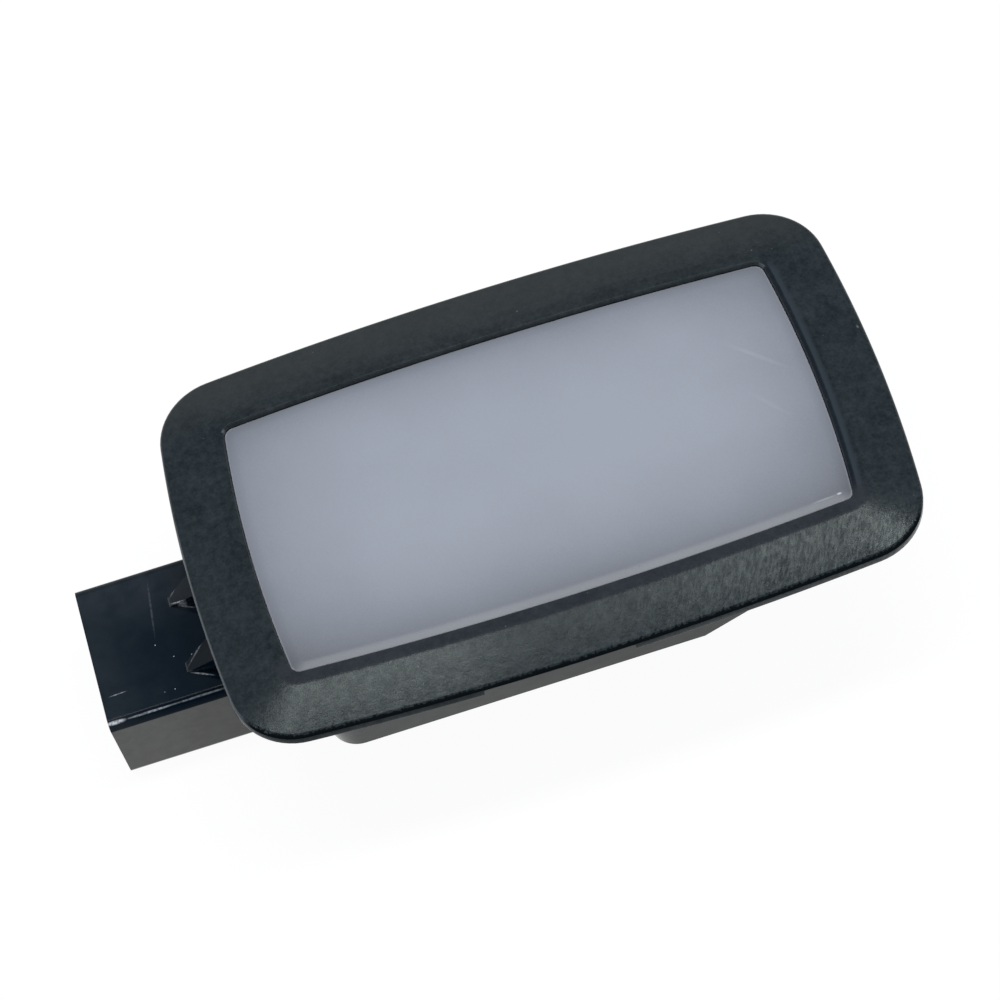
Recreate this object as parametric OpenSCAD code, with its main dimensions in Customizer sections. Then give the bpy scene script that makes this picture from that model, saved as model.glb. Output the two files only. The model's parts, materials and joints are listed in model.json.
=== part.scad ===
// Car dome light: a pillow-shaped black bezel round a frosted lens, on a deep tapered housing
// whose end wall carries the connector socket. All sizes are in millimetres.
// Frame: origin under the middle of the lens, on the flat back that the lamp rests on.
// +Z is the way the lens faces, and the socket's mouth faces -X.

/* [Bezel] */
// Length of the bezel
bezel_len = 80; // [76:1:90]
// Width of the bezel
bezel_wid = 49; // [46:0.5:56]
// Height of the bezel from the panel to its lip
bezel_h = 2.7; // [2.6:0.1:4]
// Rise of the outer outline's long sides at their middle
long_bow = 1.8; // [1:0.1:2.6]
// Rise of the outer outline's short sides at their middle
short_bow = 1.9; // [1:0.1:2.6]
// Corner radius of the outer outline
corner_r = 7.6; // [5.5:0.1:9]
// Width of the frame from the lens opening to its outer edge
face_w = 7.3; // [6.8:0.1:8.4]
// Width of the flat rim beside the opening
rim_w = 1.45; // [0.8:0.05:2]
// Fall of the sloped face from the rim to the outer edge
face_fall = 0.96; // [0.3:0.02:1.1]
// Rounding of the outer edge
edge_r = 0.55; // [0.5:0.05:1]
// Rounding of the lip round the opening
lip_r = 0.25; // [0.1:0.05:0.4]
// Thickness of the skirt
skirt_t = 1.6; // [1.2:0.1:2]
// Thickness of the sloped face
face_t = 1.4; // [1.1:0.1:1.6]
// Thickness of the collar that grips the housing
collar_t = 1.4; // [1.1:0.1:1.7]
// Length of the removal notch in the skirt
notch_len = 17; // [10:1:24]
// Height of the removal notch
notch_h = 1.1; // [0.6:0.1:1.4]
// Depth of the removal notch
notch_d = 1; // [0.5:0.1:1.3]

/* [Lens] */
// Rise of the opening's long sides at their middle
open_long_bow = 1.15; // [0.6:0.05:1.8]
// Rise of the opening's short sides at their middle
open_short_bow = 1.1; // [0.6:0.05:1.8]
// Corner radius of the opening
open_corner_r = 1.25; // [1:0.05:2]
// Depth of the lens face below the lip
lens_recess = 0.45; // [0.4:0.05:1]
// Thickness of the lens face
lens_t = 1.8; // [1.4:0.1:2.1]
// Rounding of the lens face's edge
lens_edge_r = 0.3; // [0.2:0.05:0.5]
// Width of the soft slope round the lens face
lens_slope_w = 1.2; // [0.8:0.1:1.6]
// Fall of that slope
lens_fall = 0.12; // [0.06:0.02:0.3]
// Width of the flange round the lens
lens_flange_w = 1.6; // [1.2:0.1:1.8]
// Thickness of that flange
lens_flange_t = 1.2; // [0.9:0.1:1.5]
// Depth of the opening's wall from the lip to the flange
lip_depth = 2.4; // [2.2:0.1:2.8]
// Clearance round the lens
lens_gap = 0.1; // [0.1:0.05:0.25]

/* [Housing] */
// Depth of the whole lamp from its lip to its flat back
lamp_h = 25; // [24:0.5:30]
// Thickness of the housing's walls
wall = 1.6; // [1.2:0.1:1.9]
// Thickness of the housing's floor
floor_t = 1.6; // [1.4:0.1:2]
// Lean of the housing's walls, in degrees
taper = 9; // [8:0.5:9.5]
// How far the flat back's end lies inside the opening's end
base_inset_len = 2.2; // [2:0.1:3.4]
// How far the flat back's sides lie inside the opening's sides
base_inset_wid = 2.8; // [2.4:0.1:3.4]
// Corner radius of the flat back
base_corner_r = 3.5; // [3.2:0.1:5]
// Where the flat back ends and the far end's ramp starts
ramp_start = 13.7; // [13.2:0.1:15]
// Angle of that ramp, in degrees
ramp_angle = 38.5; // [36:0.5:44]
// Thickness of the flange under the bezel
flange_t = 1.6; // [1.2:0.1:2]
// Height of the rim that stands inside the bezel's collar
rim_h = 1.2; // [1.1:0.1:1.8]
// Thickness of that rim
rim_t = 1.4; // [1.2:0.1:1.6]
// Clearance between the rim and the collar
rim_gap = 0.2; // [0.1:0.05:0.3]
// Width of each snap nib
nib_w = 5; // [3:0.5:7]
// How far a snap nib stands out of the rim
nib_out = 0.6; // [0.4:0.1:0.9]
// Distance from the middle to the snap nibs of the long sides
nib_x = 20; // [14:1:24]

/* [Connector] */
// Width of the socket's shroud
shroud_w = 18.5; // [16.6:0.1:19]
// Height of the shroud
shroud_h = 12.4; // [11.8:0.1:13]
// How far the shroud reaches past the bezel's end
shroud_reach = 13.65; // [13:0.05:18]
// Rounding of the shroud's long edges
shroud_r = 1.2; // [0.6:0.05:1.5]
// Thickness of the shroud's walls
shroud_t = 1.6; // [1.2:0.1:1.8]
// Depth of the socket
socket_depth = 13.6; // [12.6:0.2:15]
// Thickness of the web that the terminals pass through
web_t = 2; // [1.4:0.1:2.6]
// Length of the gussets' foot past the bezel's end
gusset_reach = 3.6; // [3:0.1:5]
// Width of a gusset's tip
gusset_tip = 1.2; // [0.6:0.1:1.4]
// Spread of each side of a gusset, in degrees
gusset_spread = 15; // [4:1:16]
// Slope of the gussets' crest, in degrees
gusset_slope = 38; // [36:1:58]
// Distance between the two gussets
gusset_pitch = 8.7; // [7:0.1:10]
// Shift of both gussets to the back
gusset_shift = -0.5; // [-1:0.1:1]
// Width of the latch slot in the shroud's floor
latch_w = 5; // [3:0.5:7]
// Distance from the mouth to the latch slot
latch_in = 3.5; // [2:0.5:5]
// Length of the latch slot
latch_len = 3; // [2:0.5:4]
// Width of the keyway in the shroud's roof
key_w = 2; // [1.5:0.1:3]
// Depth of the keyway
key_d = 0.7; // [0.4:0.1:0.9]

/* [Terminals] */
// Width of a terminal blade
blade_w = 2.2; // [1.6:0.1:2.6]
// Thickness of a terminal
blade_t = 0.8; // [0.5:0.1:0.8]
// Distance between neighbouring terminals
blade_pitch = 4.6; // [4:0.1:4.8]
// Length of a blade inside the socket
blade_len = 8.2; // [6.5:0.2:8.4]
// Height of the blades' underside over the board
blade_lift = 0.6; // [0.5:0.1:0.8]
// Width of the leg that goes through the board
leg_w = 1; // [0.7:0.1:1.1]
// How far the leg reaches under the board
leg_out = 1; // [0.5:0.1:1.4]

/* [Circuit board] */
// Gap between the board's end and the housing's end wall on the socket side
board_end_gap = 3.5; // [2:0.1:4]
// Distance from the board's other end to the start of the ramp
board_ramp_gap = 1.8; // [1.4:0.1:4]
// Gap between the board's sides and the housing
board_side_gap = 2; // [0.6:0.1:2.6]
// Thickness of the board
board_t = 1.2; // [0.8:0.1:1.3]
// Height of the board's underside over the floor
board_lift = 2.8; // [2.4:0.1:3]
// Corner radius of the board
board_r = 1.5; // [0.5:0.1:2.5]
// Side of a light-emitting package along the board
led_len = 3.5; // [2.8:0.1:4]
// Side of a light-emitting package across the board
led_wid = 2.8; // [2:0.1:3.5]
// Height of a light-emitting package
led_h = 0.8; // [0.5:0.1:1.2]
// Distance from the board's end on the socket side to the first packages
led_start = 7; // [6.5:0.1:7.5]
// Distance from the last packages to the board's other end
led_end = 6; // [5.6:0.1:6.6]
// Distance from the packages to the board's sides
led_side = 3; // [2.8:0.1:5]
// Distance from the right board screw to the board's end
screw_end = 2.3; // [2.3:0.05:2.5]
// Radius of the board screws' heads
screw_head_r = 1.9; // [1.6:0.1:2.1]
// Height of the board screws' heads
screw_head_h = 1.2; // [0.9:0.1:1.5]
// Radius of the board screws' shanks
screw_r = 0.9; // [0.7:0.05:1]
// Length of the board screws' shanks
screw_len = 4.4; // [3.6:0.1:4.4]

/* [Reflector] */
// Thickness of the reflector
reflector_t = 1; // [0.8:0.1:1.2]
// Clearance between the reflector and the housing
reflector_gap = 0.4; // [0.3:0.05:0.5]
// Height of the reflector's floor over the board
reflector_lift = 2.2; // [2.1:0.1:3]
// Side of a window in the reflector's floor
window_side = 6; // [5:0.2:7]

/* [Spring clips] */
// Width of a spring clip
clip_w = 9; // [7:0.5:11]
// Thickness of the clip's steel
clip_t = 0.5; // [0.3:0.05:0.6]
// Place of both clips along the lamp
clip_x = -4.3; // [-8:0.1:0]
// How far the clips hang under the housing's flange
clip_drop = 4.4; // [4.2:0.1:6]
// How far a clip's crest stands out past the collar
clip_out = 0.5; // [0.3:0.1:0.9]
// Radius of the stake that holds a clip
stake_r = 0.8; // [0.6:0.05:0.9]

/* [Hidden] */
$fn = 48;
eps = 0.01;
far = 90;

// Steps that the outlines' arcs are drawn in
side_steps = 6;
end_steps = 5;
corner_steps = 8;
round_steps = 4;

// Half sizes of the lens opening
open_a = bezel_len / 2 - face_w;
open_b = bezel_wid / 2 - face_w;

// Levels, from the lip down
lip_z = lamp_h;
panel_z = lip_z - bezel_h;
lens_z = lip_z - lens_recess;
seat_z = lip_z - lip_depth;
lens_foot_z = seat_z - lens_flange_t;
rim_z = lens_foot_z - reflector_t;
flange_z = rim_z - rim_h;
flange_foot_z = flange_z - flange_t;

// Distances out from the opening's outline
collar_in = lens_flange_w + rim_gap;
collar_out = collar_in + collar_t;
skirt_in = face_w - skirt_t;
rim_in = lens_flange_w - rim_t;

// Housing
lean = tan(taper);
base_cx = open_a - base_inset_len - base_corner_r;
base_cy = open_b - base_inset_wid - base_corner_r;
ramp_wall = wall / sin(ramp_angle);
nib_h = 0.7;
nib_z = flange_z + 0.25;
nib_play = 0.15;

// Socket, from its mouth inwards
mouth_x = -bezel_len / 2 - shroud_reach;
web_x = mouth_x + socket_depth;
socket_w = shroud_w - 2 * shroud_t;
socket_h = shroud_h - 2 * shroud_t;
inner_x = -base_cx;
gusset_x = -bezel_len / 2 - gusset_reach;
gusset_top_x = gusset_x + (flange_foot_z - shroud_h) / tan(gusset_slope);
latch_x = mouth_x + latch_in;

// Board and what stands on it
board_z = floor_t + board_lift;
board_top = board_z + board_t;
board_x = wall + board_end_gap - base_cx - base_corner_r - board_z * lean;
board_end_x = ramp_start - board_ramp_gap;
board_w = base_cy + base_corner_r + board_z * lean - wall - board_side_gap;
led_x = board_x + led_start;
led_pitch_x = (board_end_x - led_end - led_x) / 2;
led_y = board_w - led_side;
leg_in = 1.6;
leg_x = board_x + leg_in;
leg_play = 0.1;
screw_x = [led_x + led_pitch_x / 2, board_end_x - screw_end];
screw_play = 0.05;
head_play = 0.2;
boss_r = 2.3;
post_r = 1.4;
post_inset = 2.4;
blade_z = board_top + blade_lift;
tip_x = web_x - blade_len;
blade_play = 0.05;
driver_size = [4.9, 3.9, 1.5];
diode_size = [4.6, 2.6, 1.9];
capacitor_size = [3.2, 2.5, 1.8];
resistor_size = [3.2, 1.6, 0.6];

// Reflector
reflector_z = board_top + reflector_lift;
reflector_in = wall + reflector_gap;

// Spring clips
pad_y = base_cy + base_corner_r + flange_foot_z * lean + 0.1;
clip_foot_z = flange_foot_z - clip_drop;
clip_bend_r = 0.5;
crest_y = open_b + collar_out + clip_out;
crest_z = flange_z - 1.7;
crest_half = 0.9;
knee_y = crest_y - 1.3 * clip_t;
shoulder_y = crest_y - 1.1 * clip_t;
clip_end_z = flange_z - 0.4;
clip_end_y = open_b + collar_out - 0.4;
stake_z = flange_foot_z - 2.1;
leg_top_z = flange_foot_z - 0.5;
stake_head = 0.5;
notch_play = 0.6;
pad_edge = 1;

// Colours
black = [0.18, 0.2, 0.22];
gloss_black = [0.08, 0.1, 0.12];
frost = [0.62, 0.65, 0.7];
white = [0.93, 0.93, 0.9];
board_green = [0.1, 0.35, 0.2];
steel = [0.7, 0.71, 0.72];
tin = [0.75, 0.73, 0.66];
chip_black = [0.1, 0.1, 0.1];
amber = [0.95, 0.85, 0.45];
ceramic = [0.7, 0.6, 0.45];

function mix(a, b, t) = a + (b - a) * t;
function dir(angle) = [cos(angle), sin(angle)];
function arc_radius(half, bow) = (half * half + bow * bow) / (2 * bow);
function arc(centre, r, from, to, steps) =
    [for (i = [0:steps]) centre + r * dir(mix(from, to, i / steps))];
function drop_last(list) = [for (i = [0:len(list) - 2]) list[i]];
function backwards(list) = [for (i = [len(list) - 1:-1:1]) list[i]];

// A quarter of a pillow: half an end arc, a corner fillet and half a side arc
function quarter(a, b, bow_a, bow_b, r) =
    let (
        r_side = arc_radius(a, bow_a),
        r_end = arc_radius(b, bow_b),
        side = [0, b - r_side],
        end = [a - r_end, 0],
        span = norm(end - side),
        to_side = r_side - r,
        to_end = r_end - r,
        along = (span * span + to_side * to_side - to_end * to_end) / (2 * span),
        across = sqrt(to_side * to_side - along * along),
        way = (end - side) / span,
        fillet = side + along * way + across * [way.y, -way.x],
        turn_end = atan2(fillet.y - end.y, fillet.x - end.x),
        turn_side = atan2(fillet.y - side.y, fillet.x - side.x)
    )
    concat(
        drop_last(arc(end, r_end, 0, turn_end, end_steps)),
        drop_last(arc(fillet, r, turn_end, turn_side, corner_steps)),
        arc(side, r_side, turn_side, 90, side_steps)
    );

function pillow(a, b, bow_a, bow_b, r) =
    let (q = quarter(a, b, bow_a, bow_b, r))
    concat(
        drop_last(q),
        [for (p = backwards(q)) [-p.x, p.y]],
        [for (p = drop_last(q)) [-p.x, -p.y]],
        [for (p = backwards(q)) [p.x, -p.y]]
    );

// The outline at a distance out from the lens opening, up to the bezel's outer edge
function ring(out) =
    let (t = out / face_w)
    pillow(
        open_a + out,
        open_b + out,
        mix(open_long_bow, long_bow, t),
        mix(open_short_bow, short_bow, t),
        out < 0 ? open_corner_r + out / 3 : mix(open_corner_r, corner_r, t)
    );

function ring_at(p) = [for (q = ring(p.x)) [q.x, q.y, p.y]];

// How far a bowed side has fallen at a place along it
function bow_drop(x, half, bow) = bow * x * x / (half * half);

// A closed section of [distance out, height] points, carried round the opening
module round_section(section) {
    n = len(ring(0));
    m = len(section);
    points = [for (p = section) each ring_at(p)];
    faces = [
        for (i = [0:m - 1], j = [0:n - 1])
            let (k = (i + 1) % m, l = (j + 1) % n)
            each [[i * n + j, i * n + l, k * n + l], [i * n + j, k * n + l, k * n + j]]
    ];
    polyhedron(points, faces);
}

// A stack of outlines with a flat face on its first and last one
module stacked(section) {
    n = len(ring(0));
    m = len(section);
    points = [for (p = section) each ring_at(p)];
    sides = [
        for (i = [0:m - 2], j = [0:n - 1])
            let (k = i + 1, l = (j + 1) % n)
            each [[i * n + j, k * n + l, i * n + l], [i * n + j, k * n + j, k * n + l]]
    ];
    bottom = [for (j = [0:n - 1]) j];
    top = [for (j = [n - 1:-1:0]) (m - 1) * n + j];
    polyhedron(points, concat(sides, [bottom, top]));
}

module slab(out, z, h) {
    translate([0, 0, z])
        linear_extrude(h)
            polygon(ring(out));
}

module block(low, high) {
    translate(low)
        cube(high - low);
}

// An X-Z outline carried across the lamp between two places in Y
module across_y(points, low, high) {
    translate([0, high, 0])
        rotate([90, 0, 0])
            linear_extrude(high - low)
                polygon(points);
}

// A Y-Z outline carried along the lamp between two places in X
module along_x(points, low, high) {
    translate([low, 0, 0])
        rotate([90, 0, 90])
            linear_extrude(high - low)
                polygon(points);
}

// The housing's tapered form between two levels, inset by a wall
module tapered(inset, low, high) {
    r_low = base_corner_r - inset + low * lean;
    r_high = base_corner_r - inset + high * lean;
    for (sx = [-1, 1], sy = [-1, 1])
        translate([sx * base_cx, sy * base_cy, low])
            cylinder(h = high - low, r1 = r_low, r2 = r_high);
    x_low = base_cx + r_low;
    x_high = base_cx + r_high;
    across_y([[-x_low, low], [x_low, low], [x_high, high], [-x_high, high]], -base_cy, base_cy);
    y_low = base_cy + r_low;
    y_high = base_cy + r_high;
    along_x([[-y_low, low], [y_low, low], [y_high, high], [-y_high, high]], -base_cx, base_cx);
}

// All that lies above the far end's ramp, which is shifted back by a wall
module above_ramp(shift, low, high) {
    start = ramp_start - shift + low / tan(ramp_angle);
    end = ramp_start - shift + high / tan(ramp_angle);
    across_y([[-far, low], [start, low], [end, high], [-far, high]], -far, far);
}

module tub_form(inset, shift, low, high) {
    intersection() {
        tapered(inset, low, high);
        above_ramp(shift, low, high);
    }
}

// Bezel
module bezel() {
    face_end = face_w - edge_r;
    edge_z = lip_z - face_fall;
    groove_z = edge_z - face_t;
    edge = arc([face_end, edge_z - edge_r], edge_r, 90, 0, round_steps);
    lip = arc([lip_r, lip_z - lip_r], lip_r, 180, 90, 2);
    section = concat(
        [[0, seat_z]],
        lip,
        [[rim_w, lip_z]],
        edge,
        [
            [face_w, panel_z],
            [skirt_in, panel_z],
            [skirt_in, groove_z],
            [collar_out, groove_z],
            [collar_out, flange_z],
            [collar_in, flange_z],
            [collar_in, seat_z]
        ]
    );
    color(black)
        difference() {
            round_section(section);
            nibs(nib_play, collar_out + eps);
            removal_notch();
        }
}

module removal_notch() {
    y = bezel_wid / 2;
    block(
        [clip_x - notch_len / 2, -y - eps, panel_z - eps],
        [clip_x + notch_len / 2, notch_d - y, panel_z + notch_h]
    );
}

// Snap nibs on the housing's rim, and with some play the windows that they sit in
module nibs(play, out) {
    y = open_b + out;
    z = nib_z - play;
    h = nib_h + 2 * play;
    w = nib_w / 2 + play;
    drop = bow_drop(nib_x, open_a, open_long_bow);
    for (sx = [-1, 1], sy = [-1, 1])
        translate([sx * nib_x - w, min(sy * (y - drop), sy * (open_b - drop)) , z])
            cube([2 * w, out, h]);
    for (sx = [-1, 1])
        translate([min(sx * (open_a + out), sx * open_a), -w, z])
            cube([out, 2 * w, h]);
}

// Lens
module lens() {
    body = -lens_gap;
    inner = -lens_t;
    roof_z = lens_z - lens_t;
    edge_z = lens_z - lens_fall;
    edge = arc([body - lens_edge_r, edge_z - lens_edge_r], lens_edge_r, 0, 90, round_steps);
    color(frost)
        stacked(concat(
            [
                [inner, roof_z],
                [inner, lens_foot_z],
                [lens_flange_w, lens_foot_z],
                [lens_flange_w, seat_z],
                [body, seat_z]
            ],
            edge,
            [[-lens_slope_w, lens_z]]
        ));
}

// Rear housing
module rear_housing() {
    color(gloss_black)
        difference() {
            union() {
                difference() {
                    union() {
                        tub_form(0, 0, 0, flange_foot_z);
                        slab(collar_out, flange_foot_z, flange_t);
                        slab(lens_flange_w, flange_z, rim_h);
                        nibs(0, lens_flange_w + nib_out);
                        shroud();
                        gussets();
                        clip_pads();
                    }
                    tub_form(wall, ramp_wall, floor_t, rim_z + eps);
                    slab(rim_in, flange_z, rim_h + eps);
                    socket();
                    clip_notches();
                }
                board_supports();
            }
            pilot_holes();
        }
    color(gloss_black)
        clip_stakes();
}

module shroud() {
    y = shroud_w / 2 - shroud_r;
    z = shroud_h - shroud_r;
    translate([mouth_x, 0, 0])
        rotate([90, 0, 90])
            linear_extrude(inner_x - mouth_x) {
                for (sy = [-1, 1], cz = [shroud_r, z])
                    translate([sy * y, cz])
                        circle(shroud_r);
                translate([-shroud_w / 2, shroud_r])
                    square([shroud_w, shroud_h - 2 * shroud_r]);
                translate([-y, 0])
                    square([2 * y, shroud_h]);
            }
}

// The socket, its keyway and latch slot, the terminals' slots, and the way into the tub
module socket() {
    y = socket_w / 2;
    roof = shroud_t + socket_h;
    block([mouth_x - eps, -y, shroud_t], [web_x, y, roof]);
    block([mouth_x - eps, -key_w / 2, shroud_t], [web_x, key_w / 2, roof + key_d]);
    block([latch_x, -latch_w / 2, -eps], [latch_x + latch_len, latch_w / 2, shroud_t + eps]);
    block([web_x + web_t, -y, shroud_t], [inner_x, y, roof]);
    for (i = [-1:1])
        block(
            [web_x - eps, i * blade_pitch - blade_w / 2 - blade_play, blade_z - blade_play],
            [web_x + web_t + eps, i * blade_pitch + blade_w / 2 + blade_play, blade_z + blade_t + blade_play]
        );
}

// Braces from the shroud's roof up to the flange, narrow at the tip and wide at the root
module gussets() {
    root_x = inner_x;
    root = gusset_tip / 2 + (root_x - gusset_x) * tan(gusset_spread);
    low = shroud_h - shroud_r;
    side = [
        [gusset_x, low],
        [gusset_x, shroud_h],
        [gusset_top_x, flange_foot_z],
        [root_x, flange_foot_z],
        [root_x, low]
    ];
    for (sy = [-1, 1])
        intersection() {
            across_y(side, -far, far);
            translate([0, gusset_shift + sy * gusset_pitch / 2, 0])
                linear_extrude(lamp_h)
                    polygon([
                        [gusset_x, -gusset_tip / 2],
                        [root_x, -root],
                        [root_x, root],
                        [gusset_x, gusset_tip / 2]
                    ]);
        }
}

// Upright faces on the long sides that the spring clips lie against
module clip_pads() {
    w = clip_w / 2 + pad_edge;
    for (sy = [-1, 1])
        block(
            [clip_x - w, min(0, sy * pad_y), clip_foot_z - pad_edge],
            [clip_x + w, max(0, sy * pad_y), flange_foot_z]
        );
}

module clip_notches() {
    w = clip_w / 2 + notch_play;
    y = pad_y + clip_t;
    for (sy = [-1, 1])
        block(
            [clip_x - w, min(sy * y, sy * far), flange_foot_z - eps],
            [clip_x + w, max(sy * y, sy * far), flange_z + eps]
        );
}

// Heat-formed stakes that hold the clips to their pads
module clip_stakes() {
    for (sy = [-1, 1])
        translate([clip_x, sy * pad_y, stake_z])
            rotate([-sy * 90, 0, 0]) {
                translate([0, 0, -eps])
                    cylinder(h = clip_t + eps, r = stake_r);
                translate([0, 0, clip_t])
                    cylinder(h = stake_head, r1 = stake_r * 1.5, r2 = stake_r);
            }
}

module board_supports() {
    for (x = screw_x)
        translate([x, 0, floor_t - eps])
            cylinder(h = board_lift + eps, r = boss_r);
    for (x = [board_x + post_inset, board_end_x - post_inset], sy = [-1, 1])
        translate([x, sy * (board_w - post_inset), floor_t - eps])
            cylinder(h = board_lift + eps, r = post_r);
}

module pilot_holes() {
    for (x = screw_x)
        translate([x, 0, board_top - screw_len])
            cylinder(h = screw_len, r = screw_r + screw_play);
}

// Reflector
module reflector() {
    out = lens_flange_w - rim_gap / 2;
    skin = reflector_in + reflector_t;
    shift = reflector_in / sin(ramp_angle);
    inner_shift = skin / sin(ramp_angle);
    floor_z = reflector_z + reflector_t;
    color(white)
        difference() {
            union() {
                tub_form(reflector_in, shift, reflector_z, rim_z + eps);
                slab(out, rim_z, reflector_t);
            }
            tub_form(skin, inner_shift, floor_z, lens_foot_z + eps);
            for (p = led_places())
                translate([p.x - window_side / 2, p.y - window_side / 2, reflector_z - eps])
                    cube([window_side, window_side, reflector_t + 2 * eps]);
        }
}

// Circuit board
function led_places() =
    [for (i = [0:2], sy = [-1, 1]) [led_x + i * led_pitch_x, sy * led_y]];

module circuit_board() {
    in_y = board_w - board_r;
    color(board_green)
        difference() {
            union() {
                for (x = [board_x + board_r, board_end_x - board_r], sy = [-1, 1])
                    translate([x, sy * in_y, board_z])
                        cylinder(h = board_t, r = board_r);
                block([board_x + board_r, -board_w, board_z], [board_end_x - board_r, board_w, board_top]);
                block([board_x, -in_y, board_z], [board_end_x, in_y, board_top]);
            }
            for (x = screw_x)
                translate([x, 0, board_z - eps])
                    cylinder(h = board_t + 2 * eps, r = screw_r + head_play);
            for (i = [-1:1])
                translate([leg_x, i * blade_pitch, board_z - eps])
                    cylinder(h = board_t + 2 * eps, r = norm([leg_w, blade_t]) / 2 + leg_play);
        }
}

module led(i) {
    p = led_places()[i - 1];
    well_r = min(led_len, led_wid) / 2 - 0.3;
    color(amber)
        translate([p.x, p.y, board_top])
            difference() {
                translate([-led_len / 2, -led_wid / 2, 0])
                    cube([led_len, led_wid, led_h]);
                translate([0, 0, led_h * 0.7])
                    cylinder(h = led_h, r1 = well_r * 0.8, r2 = well_r * 1.4);
            }
}

module driver_chip() {
    len = driver_size.x;
    wid = driver_size.y;
    h = driver_size.z;
    lead_w = 0.4;
    lead_t = 0.2;
    lead_pitch = 1.27;
    lead_out = 1.05;
    x = led_x + 1.45 * led_pitch_x;
    lead = [
        [0, h / 2], [lead_out / 2, h / 2], [lead_out / 2, lead_t], [lead_out, lead_t],
        [lead_out, 0], [lead_out / 2 - lead_t, 0], [lead_out / 2 - lead_t, h / 2 - lead_t],
        [0, h / 2 - lead_t]
    ];
    color(chip_black)
        translate([x, 0, board_top]) {
            translate([-len / 2, -wid / 2, lead_t / 2])
                cube([len, wid, h]);
            for (i = [0:3], s = [0, 180])
                rotate([0, 0, s])
                    translate([(i - 1.5) * lead_pitch, wid / 2, 0])
                        rotate([90, 0, 90])
                            translate([0, 0, -lead_w / 2])
                                linear_extrude(lead_w)
                                    polygon(lead);
        }
}

// A block with a metal cap on each end, as chip parts have
module chip_part(x, y, size) {
    len = size.x;
    wid = size.y;
    h = size.z;
    cap = len / 6;
    skin = 0.04;
    translate([x, y, board_top]) {
        translate([-len / 2 + cap - eps, -wid / 2 + skin, skin])
            cube([len - 2 * (cap - eps), wid - 2 * skin, h - 2 * skin]);
        for (s = [-1, 1])
            translate([s * (len - cap) / 2 - cap / 2, -wid / 2, 0])
                cube([cap, wid, h]);
    }
}

module protection_diode() {
    color(chip_black)
        chip_part(led_x, 0, diode_size);
}

module capacitor() {
    color(ceramic)
        chip_part(led_x + 1.5 * led_pitch_x, -led_y, capacitor_size);
}

module resistor(i) {
    color(chip_black)
        chip_part(led_x + (i - 0.5) * led_pitch_x, led_y, resistor_size);
}

// Terminals
module terminal(i) {
    chamfer = blade_w / 4;
    w = blade_w / 2;
    end_x = leg_x + blade_t / 2;
    color(tin)
        translate([0, i * blade_pitch, 0]) {
            translate([0, 0, blade_z])
                linear_extrude(blade_t)
                    polygon([
                        [tip_x, chamfer - w], [tip_x + chamfer, -w], [end_x, -w],
                        [end_x, w], [tip_x + chamfer, w], [tip_x, w - chamfer]
                    ]);
            block([leg_x - blade_t / 2, -leg_w / 2, board_z - leg_out], [end_x, leg_w / 2, blade_z + eps]);
        }
}

// Board screws
module board_screw(x) {
    slot_w = 0.5;
    slot_d = 0.6;
    point = screw_r;
    color(steel)
        translate([x, 0, board_top])
            difference() {
                union() {
                    cylinder(h = screw_head_h, r = screw_head_r);
                    translate([0, 0, point - screw_len + eps])
                        cylinder(h = screw_len - point, r = screw_r);
                    translate([0, 0, -screw_len + 2 * eps])
                        cylinder(h = point, r1 = screw_r / 2, r2 = screw_r);
                }
                for (turn = [0, 90])
                    rotate([0, 0, turn])
                        translate([-screw_head_r * 0.6, -slot_w / 2, screw_head_h - slot_d])
                            cube([screw_head_r * 1.2, slot_w, slot_d + eps]);
            }
}

// Spring clips
function normal_at(path, i) =
    let (
        a = path[max(i - 1, 0)],
        b = path[min(i + 1, len(path) - 1)],
        way = (b - a) / norm(b - a)
    )
    [-way.y, way.x];

// A strip of one thickness along a path
function strip(path, t) =
    concat(
        [for (i = [0:len(path) - 1]) path[i] + normal_at(path, i) * t / 2],
        [for (i = [len(path) - 1:-1:0]) path[i] - normal_at(path, i) * t / 2]
    );

module spring_clip(side) {
    y = pad_y + clip_t / 2;
    bend_z = clip_foot_z + clip_bend_r;
    path = concat(
        [[y, leg_top_z]],
        arc([y + clip_bend_r, bend_z], clip_bend_r, 180, 340, 8),
        [[knee_y, crest_z - crest_half], [crest_y - clip_t / 2, crest_z]],
        [[shoulder_y, crest_z + crest_half], [clip_end_y, clip_end_z]]
    );
    turned = [for (p = path) [side * p.x, p.y]];
    color(steel)
        difference() {
            along_x(strip(turned, clip_t), clip_x - clip_w / 2, clip_x + clip_w / 2);
            translate([clip_x, side * (pad_y - eps), stake_z])
                rotate([-side * 90, 0, 0])
                    cylinder(h = clip_t + 2 * eps, r = stake_r + screw_play);
        }
}

bezel();
lens();
rear_housing();
reflector();
circuit_board();
led(1);  // led_1
led(2);  // led_2
led(3);  // led_3
led(4);  // led_4
led(5);  // led_5
led(6);  // led_6
driver_chip();
protection_diode();
capacitor();
resistor(1);  // resistor_1
resistor(2);  // resistor_2
terminal(-1);  // terminal_supply
terminal(0);  // terminal_switched
terminal(1);  // terminal_ground
board_screw(screw_x[0]);  // board_screw_left
board_screw(screw_x[1]);  // board_screw_right
spring_clip(-1);  // spring_clip_front
spring_clip(1);  // spring_clip_back
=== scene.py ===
import json
from math import atan2, cos, dist, pi, radians, sin, sqrt

import bpy
from mathutils import Matrix, Vector

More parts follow.
